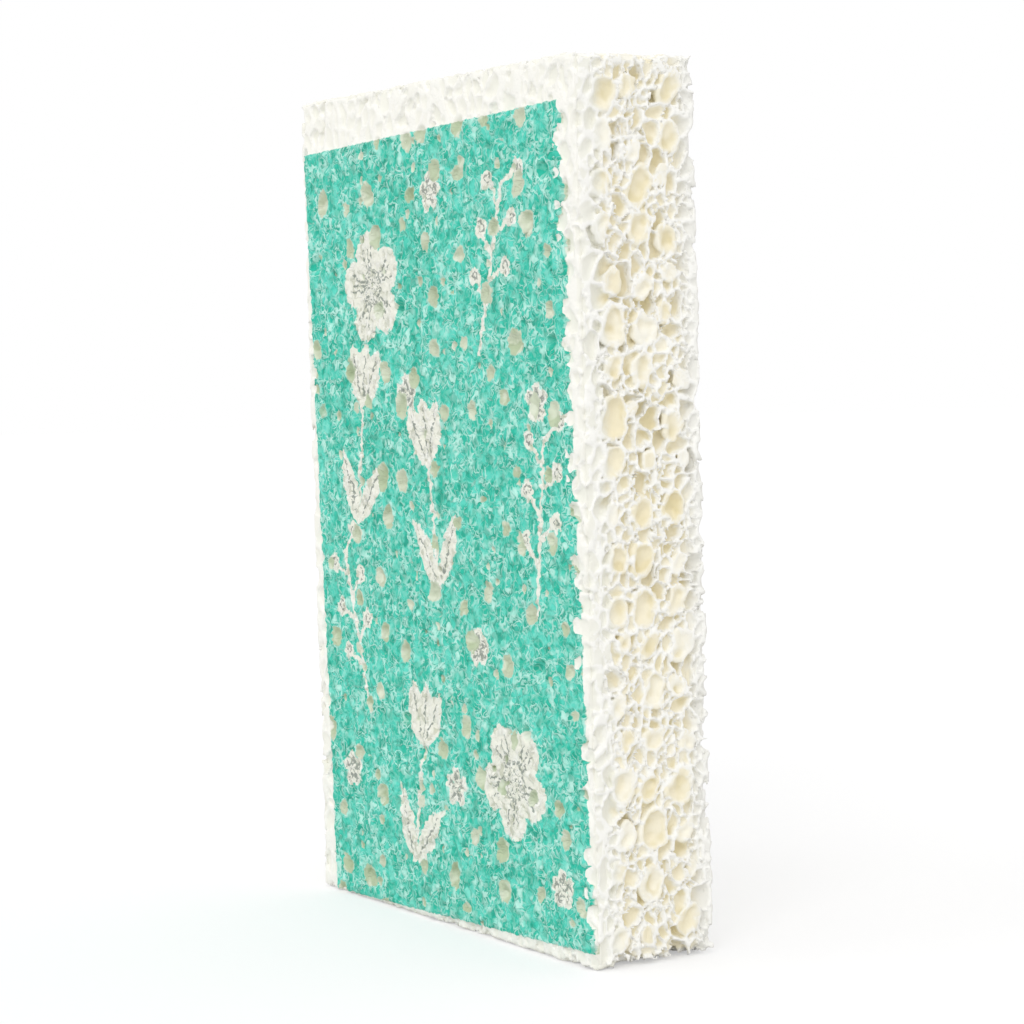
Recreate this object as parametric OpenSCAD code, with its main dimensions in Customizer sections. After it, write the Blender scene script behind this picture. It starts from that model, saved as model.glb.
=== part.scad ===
// Printed cleaning sponge: one block of open-celled cellulose, printed on one wide face.
// It stands on a short end. X runs along the printed face, Y into the thickness, Z up,
// and the origin is the middle of the end that it stands on.

/* [Block] */
// Width of the printed face
sponge_w = 70; // [60:1:90]
// Thickness of the block
sponge_t = 18; // [15:1:30]
// Height of the block as it stands
sponge_h = 110; // [95:1:140]

/* [Pores] */
// Spacing of the pores across the printed face
face_pitch = 6.8; // [6:0.2:10]
// Spacing of the pores across the back
back_pitch = 11; // [8:0.5:14]
// Spacing of the pores across the two narrow sides
side_pitch = 3.8; // [3.7:0.1:6]
// Spacing of the pores across the two ends
end_pitch = 4.6; // [3.7:0.1:7]
// Radius of the smallest pore
pore_r_min = 0.6; // [0.5:0.05:0.9]
// Radius of the largest pore on a wide face
face_pore_r = 1.3; // [1.1:0.05:2.2]
// Radius of the largest pore on a side or an end
side_pore_r = 1.55; // [1:0.05:1.6]
// Height over width of a pore on a wide face
face_stretch = 1.1; // [1.05:0.05:1.5]
// Height over width of a pore on a side
side_stretch = 1.45; // [1.1:0.05:1.5]
// Lean of the pores on the two sides towards the back, in degrees
side_lean = 16; // [0:1:25]
// Which of the many like scatters of pores is used
pore_seed = 11; // [1:1:99]

/* [Torn edges] */
// Spacing of the torn cells along each edge
nick_pitch = 9; // [4.5:0.1:10]
// Radius of the largest torn cell on an edge
nick_r = 1.3; // [0.7:0.05:1.5]

/* [Print] */
// Bare foam beside the print, on the left and on the right
print_side_gap = 2.8; // [2.5:0.1:6]
// Bare foam above the print
print_top_gap = 6.6; // [4:0.1:12]
// Bare foam below the print
print_foot_gap = 1.4; // [1.2:0.1:6]
// Turn of the print on its face, as it was put on slightly crooked
print_turn = 1.7; // [0:0.1:2]
// Thickness of the ink film
ink_t = 0.1; // [0.05:0.01:0.3]
// Size of the flowers and twigs in the print
motif_scale = 1; // [0.7:0.05:1.05]

/* [Hidden] */

foam_colour = [0.96, 0.95, 0.91];
cell_colour = [0.89, 0.86, 0.74];
ink_colour = [0.24, 0.75, 0.66];

edge_band = 2.2;
cell_wall = 0.35;
lean_spread = 8;
arc_steps = 24;

print_w = sponge_w - 2 * print_side_gap;
print_h = sponge_h - print_top_gap - print_foot_gap;
print_z = print_foot_gap + print_h / 2;

blossom_r = 7.5;
petal_count = 5;
floret_r = 2.6;
twig_long = 22;
tulip_long = 25;
stalk_w = 0.7;
leaf_long = 11;
leaf_wide = 3.4;

// A repeatable share from 0 to 1 for one cell of one face.
function share(face, cell, use) = rands(0, 1, 1, pore_seed * 7919 + face * 3571 + cell * 13 + use)[0];

// Most pores are small and a few are large, as bubbles in foam are.
function pore_size(most, face, cell) = pore_r_min + (most - pore_r_min) * pow(share(face, cell, 1), 1.5);

// How far a pore's middle strays from the middle of its own cell.
function stray(pitch, half, face, cell, use) =
  (share(face, cell, use) - 0.5) * max(0, pitch - 2 * half - cell_wall);

// One pore: a round cell drawn out upwards, with domed ends.
module pore(r, stretch) {
  straight = 2 * r * (stretch - 1);
  rotate_extrude($fn = arc_steps)
    intersection() {
      union() {
        translate([-r, -straight / 2])
          square([2 * r, straight]);
        translate([0, straight / 2])
          circle(r, $fn = arc_steps);
        translate([0, -straight / 2])
          circle(r, $fn = arc_steps);
      }
      translate([0, -2 * r])
        square([r, 4 * r]);
    }
}

// Pores scattered over an upright face of width w that looks along -Y, one in each cell of a grid.
module upright_pores(face, w, pitch, most, stretch, lean) {
  tall = pitch * stretch;
  cols = floor((w - 2 * edge_band) / pitch);
  rows = floor((sponge_h - 2 * edge_band) / tall);
  step_x = (w - 2 * edge_band) / cols;
  step_z = (sponge_h - 2 * edge_band) / rows;
  for (col = [0:cols - 1], row = [0:rows - 1]) {
    cell = col * 100 + row;
    r = pore_size(most, face, cell);
    angle = lean + lean_spread * (2 * share(face, cell, 5) - 1);
    half_w = r * (1 + (stretch - 1) * abs(sin(angle)));
    x = edge_band + (col + 0.5) * step_x - w / 2 + stray(step_x, half_w, face, cell, 2);
    z = edge_band + (row + 0.5) * step_z + stray(step_z, r * stretch, face, cell, 3);
    translate([x, -0.25 * r * share(face, cell, 4), z])
      rotate([0, angle, 0])
        pore(r, stretch);
  }
}

// Pores scattered over an end, as seen from above.
module end_pores(face) {
  cols = floor((sponge_w - 2 * edge_band) / end_pitch);
  rows = floor((sponge_t - 2 * edge_band) / end_pitch);
  step_x = (sponge_w - 2 * edge_band) / cols;
  step_y = (sponge_t - 2 * edge_band) / rows;
  for (col = [0:cols - 1], row = [0:rows - 1]) {
    cell = col * 100 + row;
    r = pore_size(side_pore_r, face, cell);
    x = edge_band + (col + 0.5) * step_x - sponge_w / 2 + stray(step_x, r, face, cell, 2);
    y = edge_band + (row + 0.5) * step_y - sponge_t / 2 + stray(step_y, r, face, cell, 3);
    translate([x, y, 0])
      sphere(r, $fn = arc_steps);
  }
}

// Torn cells along an edge of the given length, which runs up from the origin.
module edge_nicks(length, edge) {
  count = floor((length - 2 * edge_band) / nick_pitch);
  step = (length - 2 * edge_band) / count;
  for (i = [0:count - 1]) {
    r = nick_r * (0.5 + 0.5 * share(edge, i, 1));
    translate([0, 0, edge_band + (i + 0.5) * step + stray(step, r, edge, i, 2)])
      sphere(r, $fn = arc_steps);
  }
}

module wide_face_pores() {
  translate([0, -sponge_t / 2, 0])
    upright_pores(1, sponge_w, face_pitch, face_pore_r, face_stretch, 0);
  rotate([0, 0, 180])
    translate([0, -sponge_t / 2, 0])
      upright_pores(2, sponge_w, back_pitch, face_pore_r, face_stretch, 0);
}

module side_and_end_pores() {
  for (side = [0, 1])
    rotate([0, 0, 90 + 180 * side])
      translate([0, -sponge_w / 2, 0])
        upright_pores(3 + side, sponge_t, side_pitch, side_pore_r, side_stretch, (1 - 2 * side) * side_lean);
  for (end = [0, 1])
    translate([0, 0, end * sponge_h])
      end_pores(5 + end);
}

module torn_edges() {
  for (sx = [-1, 1], sy = [-1, 1])
    translate([sx * sponge_w / 2, sy * sponge_t / 2, 0])
      edge_nicks(sponge_h, 10 + sx + 2 * sy);
  for (z = [0, sponge_h], sy = [-1, 1])
    translate([-sponge_w / 2, sy * sponge_t / 2, z])
      rotate([0, 90, 0])
        edge_nicks(sponge_w, 20 + sy + 2 * sign(z));
}

// The print's motifs, each drawn upright from its own foot or middle.

// A pointed leaf that stands on the origin.
module leaf(long, wide) {
  bow_r = (pow(long, 2) + pow(wide, 2)) / (4 * wide);
  translate([0, long / 2])
    intersection() {
      translate([bow_r - wide / 2, 0])
        circle(bow_r, $fn = 48);
      translate([wide / 2 - bow_r, 0])
        circle(bow_r, $fn = 48);
    }
}

module stalk(long) {
  translate([-stalk_w / 2, 0])
    square([stalk_w, long]);
}

// A blossom of round petals.
module blossom(r) {
  for (i = [0:petal_count - 1])
    rotate(360 * i / petal_count)
      translate([0, 0.6 * r])
        circle(0.4 * r, $fn = arc_steps);
  circle(0.35 * r, $fn = arc_steps);
}

// A twig with berries on short stalks, left and right by turns.
module berry_twig() {
  berries = 6;
  stalk(twig_long);
  for (i = [0:berries - 1])
    translate([0, twig_long * (0.3 + 0.7 * i / (berries - 1))])
      rotate(i % 2 == 0 ? 50 : -50) {
        stalk(3.4);
        translate([0, 4.3])
          circle(1.25, $fn = arc_steps);
      }
}

// A tulip: a cup of three petals on a stalk with two long leaves.
module tulip() {
  stalk(tulip_long - 6);
  for (turn = [-24, 0, 24])
    translate([0, tulip_long - 9])
      rotate(turn)
        leaf(9, 4.2);
  for (turn = [-32, 28])
    rotate(turn)
      leaf(leaf_long, leaf_wide);
}

// Where each motif stands: x and z as shares of half the print, then its turn.
blossoms = [[-0.45, 0.62, 10], [0.5, -0.62, 30]];
twigs = [[0.38, 0.42, -18], [-0.62, -0.5, 14], [0.72, -0.22, -8]];
tulips = [[0, -0.16, 6], [-0.3, -0.88, -12], [-0.66, 0.0, -10]];
florets = [[0.05, 0.84], [0.78, 0.3], [-0.2, 0.34], [0.28, -0.3], [-0.8, -0.66], [0.82, -0.86], [0.06, -0.66]];

module placed(spot) {
  translate([spot[0] * print_w / 2, spot[1] * print_h / 2])
    rotate(len(spot) > 2 ? spot[2] : 0)
      scale(motif_scale)
        children();
}

module motifs() {
  for (spot = blossoms)
    placed(spot) blossom(blossom_r);
  for (spot = twigs)
    placed(spot) berry_twig();
  for (spot = tulips)
    placed(spot) tulip();
  for (spot = florets)
    placed(spot) blossom(floret_r);
}

// The ink film: a field of colour in which the motifs are left bare.
module print_film() {
  translate([0, ink_t - sponge_t / 2, print_z])
    rotate([90, 0, 0])
      linear_extrude(ink_t)
        rotate(print_turn)
          difference() {
            square([print_w, print_h], center = true);
            motifs();
          }
}

module foam_block() {
  translate([-sponge_w / 2, ink_t - sponge_t / 2, 0])
    cube([sponge_w, sponge_t - ink_t, sponge_h]);
}

module sponge() {
  difference() {
    union() {
      color(foam_colour) foam_block();
      color(ink_colour) print_film();
    }
    color(cell_colour) wide_face_pores();
    color(cell_colour) side_and_end_pores();
    color(cell_colour) torn_edges();
  }
}

sponge();
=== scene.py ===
import math

import bmesh
import bpy
import numpy as np
from mathutils import Matrix, Vector


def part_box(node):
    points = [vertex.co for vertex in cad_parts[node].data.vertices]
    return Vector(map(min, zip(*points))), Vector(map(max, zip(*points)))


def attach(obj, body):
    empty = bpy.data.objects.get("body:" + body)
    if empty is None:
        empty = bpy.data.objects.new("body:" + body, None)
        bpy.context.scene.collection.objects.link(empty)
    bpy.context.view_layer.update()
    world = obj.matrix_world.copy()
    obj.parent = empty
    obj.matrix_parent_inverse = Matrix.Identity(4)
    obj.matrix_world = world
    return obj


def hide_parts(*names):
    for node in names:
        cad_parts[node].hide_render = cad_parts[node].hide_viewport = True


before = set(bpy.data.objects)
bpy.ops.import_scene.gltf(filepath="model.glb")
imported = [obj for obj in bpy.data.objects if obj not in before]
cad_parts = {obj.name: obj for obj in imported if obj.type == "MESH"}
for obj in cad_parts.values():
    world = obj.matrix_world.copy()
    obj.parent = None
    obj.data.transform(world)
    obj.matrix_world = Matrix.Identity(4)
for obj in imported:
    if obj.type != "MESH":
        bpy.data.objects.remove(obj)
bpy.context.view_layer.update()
SPONGE_BOX = [list(map(float, corner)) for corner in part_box("sponge")]

bl_info = {
    "name": "Cleaning Sponge",
    "version": (1, 0, 0),
    "blender": (4, 5, 0),
    "location": "3D View > Sidebar > Sponge",
    "description": "Builds the foam, the ink and the stage of a printed cleaning sponge",
    "category": "Object",
}

BLOCK_W = 70.0
BLOCK_T = 18.0
BLOCK_H = 110.0
# The worn foot touches the floor at its lowest rims, a little above the solid's own flat end.
FLOOR_LEVEL = 0.0002
# Each size of cup: its spacing over the cell width, the share of cells that are open, the
# same close to the printed skin, how far its tone starts from pale, and where it is sown.
# The smaller cups start darker: painted shade in their narrow hollows.
CUP_SIZES = (
    (1.2, 0.4, 0.7, 0.0, (0, 0, 0)),
    (0.74, 0.97, 0.4, 0.15, (31, 57, 13)),
    (0.45, 1.0, 0.15, 0.35, (5, 71, 43)),
)
# The views of two opposite faces are moved apart by so much, in mm, so that their cells differ.
SIDE_SHIFT = 170.0
WIDE_SHIFT = 570.0
END_SHIFT = 930.0
# Far below the surface of the foam: what is less by so much is no hollow at all.
FAR_IN = 9.0
EDGE_ROUND = 0.9
CREASE = 0.07
# The bands beside the block's faces, in metres, in which the solid's own flat faces lie.
FLAT_BAND = 0.00002
FILM_BAND = 0.00013
# The motifs' sizes in mm, and where each stands as shares of half the print, with its turn.
BLOSSOM_R = 7.5
FLORET_R = 2.6
TWIG_LONG = 22
STALK_HALF = 0.35
BERRIES = 6
BERRY_R = 1.25
PETALS = 5
BLOSSOMS = ((-0.45, 0.62, 10), (0.5, -0.62, 30))
TWIGS = ((0.38, 0.42, -18), (-0.62, -0.5, 14), (0.72, -0.22, -8))
TULIPS = ((0, -0.16, 6), (-0.3, -0.88, -12), (-0.66, 0.0, -10))
FLORETS = (
    (0.05, 0.84, 0),
    (0.78, 0.3, 0),
    (-0.2, 0.34, 0),
    (0.28, -0.3, 0),
    (-0.8, -0.66, 0),
    (0.82, -0.86, 0),
    (0.06, -0.66, 0),
)
# The colours that the settings give to the foam and to the ink.
FOAM_COLOURS = ("Rim", "Cup", "Sage", "Deep")
INK_COLOURS = ("Ink", "Thin Ink", "Fibre", "Motif", "Line", "Opening")
CAMERA_PLACE = (0.30523, -0.18713, 0.07503)
# The camera's turn round the block, its lift and its roll, in degrees.
CAMERA_ANGLES = (58.144, 3.409, -1.582)


def linear(red, green, blue):
    """A colour given in the 0 to 255 steps of a paint chart, as linear light."""

    def channel(value):
        share = value / 255
        return share / 12.92 if share <= 0.04045 else ((share + 0.055) / 1.055) ** 2.4

    return (channel(red), channel(green), channel(blue))


def opaque(colour):
    """A colour with its alpha, as a node's socket holds it."""
    return tuple(colour) + (1.0,)


PALE_CUP = linear(247, 244, 232)
REAR_CUP = linear(236, 235, 229)
# Painted shade: a grey for the foam at the printed face.
SHADED_FRONT_SKIN = linear(240, 238, 230)
# Painted shade: the darker ink in patches between the curled fibres.
SHADED_INK = linear(26, 152, 128)
MOTIF_SHADE = linear(200, 202, 184)
SHADED_OPENING = linear(184, 198, 166)
LIT_OPENING = linear(228, 233, 216)
FLOOR_AS_LIT = (0.8, 0.8, 0.8)
FLOOR_AS_SEEN = (0.55, 0.55, 0.55)


def length_setting(**words):
    """A setting that is a length, held in metres."""
    return bpy.props.FloatProperty(precision=5, subtype="DISTANCE", unit="LENGTH", **words)


def angle_setting(**words):
    """A setting that is an angle, held in radians."""
    return bpy.props.FloatProperty(subtype="ANGLE", unit="ROTATION", **words)


def colour_setting(**words):
    """A setting that is a colour, held as linear light."""
    return bpy.props.FloatVectorProperty(min=0, max=1, subtype="COLOR", **words)


class FoamSettings(bpy.types.PropertyGroup):
    """Sizes and colours of the foam."""

    cell_width: length_setting(
        name="Cell Width",
        description="Spacing of the ordinary foam cells",
        default=0.0018,
        min=0.001,
        max=0.006,
    )
    wall: length_setting(
        name="Cell Wall",
        description="Thickness of the foam between two cells",
        default=0.00026,
        min=0.0001,
        max=0.001,
    )
    stretch: bpy.props.FloatProperty(
        name="Stretch", description="Height of a cell over its width", default=1.35, min=1.0, max=2.0
    )
    lean: angle_setting(
        name="Lean",
        description="How far the cells of the cut sides lean towards the back",
        default=math.radians(16),
    )
    layer_depth: length_setting(
        name="Layer Depth",
        description="How deep the foam of each face goes into the block",
        default=0.0038,
        min=0.003,
        max=0.008,
    )
    grid_step: length_setting(
        name="Grid Step",
        description="Fineness of the grid that the foam is drawn on",
        default=0.00027,
        min=0.0002,
        max=0.001,
    )
    seed: bpy.props.IntProperty(
        name="Seed", description="Which of the many like foams is used", default=4, min=0, max=99
    )
    rim_colour: colour_setting(
        name="Rim Colour",
        description="Colour of the cut rims between the cells",
        default=linear(249, 248, 243),
    )
    # Painted shade: the cup colour tints the hollows of the cells, cream against the white rims; how far
    # each cup goes towards it is partly random.
    cup_colour: colour_setting(
        name="Cup Colour",
        description="Colour down in the cells of a cut face",
        default=linear(236, 226, 194),
    )
    sage_colour: colour_setting(
        name="Sage Colour",
        description="Colour down in the cells close to the printed skin",
        default=linear(238, 237, 227),
    )
    # Painted shade: the deep colour darkens the bottom of the deepest holes and one side of the cups.
    deep_colour: colour_setting(
        name="Deep Colour",
        description="Colour at the bottom of the deepest holes",
        default=linear(214, 200, 148),
    )


class PrintSettings(bpy.types.PropertyGroup):
    """Sizes and colours of the print on the skin of one wide face."""

    side_gap: length_setting(
        name="Side Gap",
        description="Bare foam beside the print, on the left and on the right",
        default=0.0028,
    )
    top_gap: length_setting(name="Top Gap", description="Bare foam above the print", default=0.0066)
    foot_gap: length_setting(name="Foot Gap", description="Bare foam below the print", default=0.0014)
    turn: angle_setting(
        name="Turn", description="How far the print is turned on its face", default=math.radians(1.7)
    )
    soak: length_setting(name="Soak", description="How deep the ink goes into the skin", default=0.0006)
    ink_colour: colour_setting(
        name="Ink Colour",
        description="Colour of the ink where it lies thick",
        default=linear(40, 186, 160),
    )
    thin_colour: colour_setting(
        name="Thin Ink Colour",
        description="Colour of the ink where it lies thin",
        default=linear(94, 214, 194),
    )
    # Painted highlight: this pale colour is laid on the curled fibres and on the lips of the pores, for the
    # light that catches them.
    fibre_colour: colour_setting(
        name="Fibre Colour",
        description="Colour of the fibres that stand proud of the ink",
        default=linear(196, 242, 230),
    )
    motif_colour: colour_setting(
        name="Motif Colour",
        description="Colour of the flowers and leaves that are left bare",
        default=linear(234, 234, 221),
    )
    line_colour: colour_setting(
        name="Line Colour",
        description="Colour of the thin lines in the flowers and leaves",
        default=linear(104, 118, 110),
    )
    opening_colour: colour_setting(
        name="Opening Colour",
        description="Colour inside the cells that open through the printed skin",
        default=linear(203, 211, 188),
    )


class StageSettings(bpy.types.PropertyGroup):
    """Sizes and levels of the floor, the lamps and the camera."""

    floor_radius: length_setting(
        name="Floor Radius", description="Reach of the floor round the sponge", default=2.5
    )
    sky: bpy.props.FloatProperty(
        name="Sky", description="Strength of the even light from all round", default=0.88, min=0
    )
    key: bpy.props.FloatProperty(
        name="Key Lamp", description="Strength of the broad lamp on the printed side", default=0.3, min=0
    )
    fill: bpy.props.FloatProperty(
        name="Fill Lamp", description="Strength of the broad lamp on the cut side", default=0.8, min=0
    )
    floor_glow: bpy.props.FloatProperty(
        name="Floor Glow",
        description="How much the floor is lifted towards white, as the camera sees it",
        default=0.43,
        min=0,
        max=1,
    )
    lens: bpy.props.FloatProperty(
        name="Lens",
        description="Focal length of the camera on a 36 mm sensor",
        default=96.45,
        subtype="DISTANCE_CAMERA",
        unit="CAMERA",
    )


class Net:
    """Adds nodes to one tree. The same calls serve geometry and shader trees."""

    def __init__(self, tree, flat=False):
        self.tree = tree
        self.dimensions = "2D" if flat else "3D"

    def feed(self, socket, value):
        if isinstance(value, bpy.types.NodeSocket):
            self.tree.links.new(value, socket)
        elif value is not None:
            socket.default_value = value

    def node(self, kind, inputs=None, **settings):
        made = self.tree.nodes.new(kind)
        for name, value in settings.items():
            setattr(made, name, value)
        for name, value in (inputs or {}).items():
            self.feed(made.inputs[name], value)
        return made

    def sum(self, operation, *values):
        made = self.node("ShaderNodeMath", operation=operation)
        for socket, value in zip(made.inputs, values):
            self.feed(socket, value)
        return made.outputs[0]

    def add(self, a, b):
        return self.sum("ADD", a, b)

    def less(self, a, b):
        return self.sum("SUBTRACT", a, b)

    def times(self, a, b):
        return self.sum("MULTIPLY", a, b)

    def least(self, first, *others):
        for other in others:
            first = self.sum("MINIMUM", first, other)
        return first

    def most(self, first, *others):
        for other in others:
            first = self.sum("MAXIMUM", first, other)
        return first

    def size(self, a):
        return self.sum("ABSOLUTE", a)

    def vector(self, operation, a, b=None, scale=None):
        made = self.node("ShaderNodeVectorMath", operation=operation)
        self.feed(made.inputs[0], a)
        self.feed(made.inputs[1], b)
        if scale is not None:
            self.feed(made.inputs["Scale"], scale)
        single = operation in ("LENGTH", "DOT_PRODUCT", "DISTANCE")
        return made.outputs["Value" if single else "Vector"]

    def axes(self, vector):
        return self.node("ShaderNodeSeparateXYZ", {0: vector}).outputs

    def joined(self, x, y, z):
        return self.node("ShaderNodeCombineXYZ", {0: x, 1: y, 2: z}).outputs[0]

    def noise(self, place, scale, detail=1.0, rough=0.5, out="Fac"):
        values = {"Vector": place, "Scale": scale, "Detail": detail, "Roughness": rough}
        return self.node("ShaderNodeTexNoise", values, noise_dimensions=self.dimensions).outputs[out]

    def strayed(self, place, scale, reach, detail=1.0, rough=0.5):
        """place moved about at random, by up to half of reach each way."""
        random = self.noise(place, scale, detail, rough, "Color")
        stray = self.vector("SUBTRACT", random, (0.5, 0.5, 0.5))
        return self.vector("ADD", place, self.vector("SCALE", stray, scale=reach))

    def ramp(self, value, start, end, low=0.0, high=1.0, kind="SMOOTHSTEP"):
        made = self.node("ShaderNodeMapRange", interpolation_type=kind, clamp=True)
        for socket, setting in zip(made.inputs, (value, start, end, low, high)):
            self.feed(socket, setting)
        return made.outputs[0]

    def blend(self, share, a, b):
        """The number a where share is 0 and b where it is 1."""
        return self.node("ShaderNodeMix", {0: share, 2: a, 3: b}, data_type="FLOAT").outputs[0]

    def tint(self, share, a, b):
        """The colour a where share is 0 and b where it is 1."""
        a, b = (c if isinstance(c, bpy.types.NodeSocket) else opaque(c) for c in (a, b))
        return self.node("ShaderNodeMix", {0: share, 6: a, 7: b}, data_type="RGBA").outputs[2]

    def cells(self, place, spacing, feature="F1"):
        kind = {"feature": feature, "voronoi_dimensions": self.dimensions}
        made = self.node("ShaderNodeTexVoronoi", {"Vector": place}, **kind)
        self.feed(made.inputs["Scale"], self.sum("DIVIDE", 1.0, spacing))
        return made.outputs

    def turned(self, x, y, angle):
        """x and y as seen from a frame that is turned by angle, in radians."""
        cosine, sine = math.cos(angle), math.sin(angle)
        return (
            self.add(self.times(x, cosine), self.times(y, sine)),
            self.less(self.times(y, cosine), self.times(x, sine)),
        )

    def stored(self, *names):
        """The numbers of these names that the mesh holds at each point."""
        return [self.node("ShaderNodeAttribute", attribute_name=name).outputs["Fac"] for name in names]


def block_distances(net, place):
    """Distances from a place, in mm, to the six faces of the block and to the nearest one."""
    x, y, z = net.axes(place)
    side = net.less(BLOCK_W / 2, net.size(x))
    front = net.add(y, BLOCK_T / 2)
    back = net.less(BLOCK_T / 2, y)
    end = net.less(BLOCK_H / 2, net.size(net.less(z, BLOCK_H / 2)))
    wide = net.least(front, back)
    return {
        "side": side,
        "front": front,
        "back": back,
        "end": end,
        "wide": wide,
        "depth": net.least(side, wide, end),
    }


def print_frame(net, place):
    """The place across and up the print, in mm from its middle, and the print's width and height."""
    across, _, up = net.axes(place)
    ink = bpy.context.scene.sponge_print
    gap, top, foot = (v * 1000 for v in (ink.side_gap, ink.top_gap, ink.foot_gap))
    wide = BLOCK_W - 2 * gap
    high = BLOCK_H - top - foot
    x, y = net.turned(across, net.less(up, foot + high / 2), ink.turn)
    return x, y, wide, high


def ragged_edge(net, place):
    """The place on the print, and the distance inside its border, which cells bite into on the right."""
    x, y, wide, high = print_frame(net, place)
    plan = Net(net.tree, flat=True)
    flat = net.joined(x, y, 0.0)
    fray = net.less(plan.noise(flat, 1.1, 3.0, 0.6), 0.5)
    bite = net.ramp(plan.cells(plan.strayed(flat, 0.5, 1.2), 2.9)["Distance"], 0.15, 0.5, -1.3, 0.5)
    right = net.add(net.less(wide / 2, x), bite)
    edge = net.least(net.add(x, wide / 2), net.less(high / 2, net.size(y)), right)
    return x, y, net.add(edge, net.times(fray, 0.5)), wide, high


def face_views(net, place, stretch, lean):
    """The place as seen straight on from the sides, the wide faces and the ends."""
    x, y, z = net.axes(place)
    cosine, sine = net.sum("COSINE", lean), net.sum("SINE", lean)
    across = net.less(net.times(y, cosine), net.times(z, sine))
    along = net.add(net.times(y, sine), net.times(z, cosine))
    right, back, top = (net.sum("SIGN", net.less(*pair)) for pair in ((x, 0.0), (y, 0.0), (z, BLOCK_H / 2)))
    along = net.sum("DIVIDE", along, stretch)
    return {
        "side": net.joined(net.add(across, net.times(right, SIDE_SHIFT)), along, 0.0),
        "wide": net.joined(net.add(x, net.times(back, WIDE_SHIFT)), net.sum("DIVIDE", z, stretch), 0.0),
        "end": net.joined(x, net.add(y, net.times(top, END_SHIFT)), 0.0),
    }


def open_cups(net, seen, below, width, wall, calm):
    """The cups that one face cuts open: large ones, and smaller ones between them.

    seen is the place as seen straight on from the face, and below its depth under it.
    Gives how far the place lies inside a cup, above 0 in its hollow, the distance from
    the nearest rim as seen from the face, above 0 in a cup, and the cup's tone: random,
    and darker for the smaller cups as painted shade in their narrow hollows.
    """
    hollow = inside = tone = None
    for size, keep, calm_keep, pale, shift in CUP_SIZES:
        spacing = net.times(width, size)
        moved = net.vector("ADD", net.strayed(seen, 0.75, 0.9), shift)
        near = net.cells(moved, spacing)
        edge = net.cells(moved, spacing, "DISTANCE_TO_EDGE")[0]
        share, other, third = net.axes(near["Color"])
        reach = net.times(spacing, net.ramp(other, 0, 1, 0.55, 0.9, "LINEAR"))
        rim = net.times(wall, 0.3 + 0.6 * size)
        from_rim = net.less(net.times(edge, spacing), net.times(rim, 0.5))
        from_middle = net.less(reach, net.times(near["Distance"], spacing))
        own = net.sum("SMOOTH_MIN", from_rim, from_middle, 0.25 * size)
        closed = net.sum("GREATER_THAN", share, net.blend(calm, keep, calm_keep))
        own = net.less(own, net.times(closed, FAR_IN))
        if inside is not None:
            own = net.least(own, net.less(net.times(inside, -1.0), rim))
        radius = net.times(spacing, 0.42)
        lift = net.times(spacing, net.ramp(third, 0, 1, -0.14, 0.16, "LINEAR"))
        down = net.most(net.less(below, lift), 0.0)
        down = net.sum("DIVIDE", down, net.times(radius, net.blend(calm, 1.55, 0.42)))
        across = net.most(net.less(1.0, net.sum("DIVIDE", own, radius)), 0.0)
        bowl = net.times(radius, net.less(1.0, net.vector("LENGTH", net.joined(across, down, 0.0))))
        # Each cup's tone: random, plus a painted shade that is darker for the smaller cups.
        colour = net.add(net.times(third, 0.6), pale)
        if hollow is None:
            hollow, inside, tone = bowl, own, colour
        else:
            tone = net.blend(net.sum("GREATER_THAN", own, 0.0), tone, colour)
            hollow = net.most(hollow, bowl)
            inside = net.most(inside, own)
    return hollow, inside, tone


def calmness(net, place, faces):
    """Near 1 close to the printed skin, the top end and the rear edges, where the foam is smooth."""
    from_top = net.less(BLOCK_H, net.axes(place)[2])
    from_edge = net.most(faces["back"], net.least(faces["side"], faces["end"]))
    calm = net.most(net.ramp(faces["front"], 1.0, 4.0, 1, 0), net.ramp(from_top, 0.5, 2.8, 0.8, 0))
    return net.most(calm, net.ramp(from_edge, 0.7, 2.4, 0.8, 0))


def cut_foam(net, place, faces, given, calm):
    """The open cups of all the faces at one place: their hollow, distance from the rim and tone.

    It gives too how far the uneven cut lies below the block's own faces.
    """
    fray = net.times(net.noise(place, 1.9, 2.0, 0.6), net.blend(calm, 0.4, 0.15))
    worn = net.add(net.times(net.noise(place, 0.4), 0.45), fray)
    start = net.times(given["Seed"], 37.0)
    views = face_views(net, net.strayed(place, 0.13, 3.0), given["Stretch"], given["Lean"])
    plan = Net(net.tree, flat=True)
    width = net.times(given["Cell Width"], 1000)
    wall = net.times(given["Cell Wall"], 1000)
    hollow = inside = tone = None
    for kind, seen in views.items():
        seen = net.vector("ADD", seen, net.joined(start, start, 0.0))
        found = open_cups(plan, seen, net.less(faces[kind], worn), width, wall, calm)
        if hollow is None:
            hollow, inside, tone = found
        else:
            nearer = net.sum("GREATER_THAN", found[0], hollow)
            inside = net.blend(nearer, inside, found[1])
            tone = net.blend(nearer, tone, found[2])
            hollow = net.most(hollow, found[0])
    return hollow, inside, tone, worn


def skin_relief(net, place):
    """The printed skin's low places, its dents and which dents are worn through to bare foam."""
    crooked = net.strayed(place, 0.75, 0.9)
    ridge = net.ramp(net.size(net.less(net.noise(crooked, 0.85, 2.0, 0.62), 0.5)), 0.0, 0.13)
    dents = net.cells(net.vector("ADD", crooked, (7, 3, 11)), 2.9)
    share, other, third = net.axes(dents["Color"])
    reach = net.ramp(third, 0, 1, 0.2, 0.36, "LINEAR")
    dent = net.ramp(dents["Distance"], net.times(reach, 0.5), reach, 1, 0)
    dent = net.times(dent, net.sum("LESS_THAN", share, 0.6))
    return ridge, dent, net.times(dent, net.sum("LESS_THAN", other, 0.4))


def uneven_place(net, place):
    """Where the solid's pores are looked up, so that their outlines are a little uneven."""
    return net.strayed(net.strayed(place, 0.28, 1.7), 0.7, 0.8)


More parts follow.
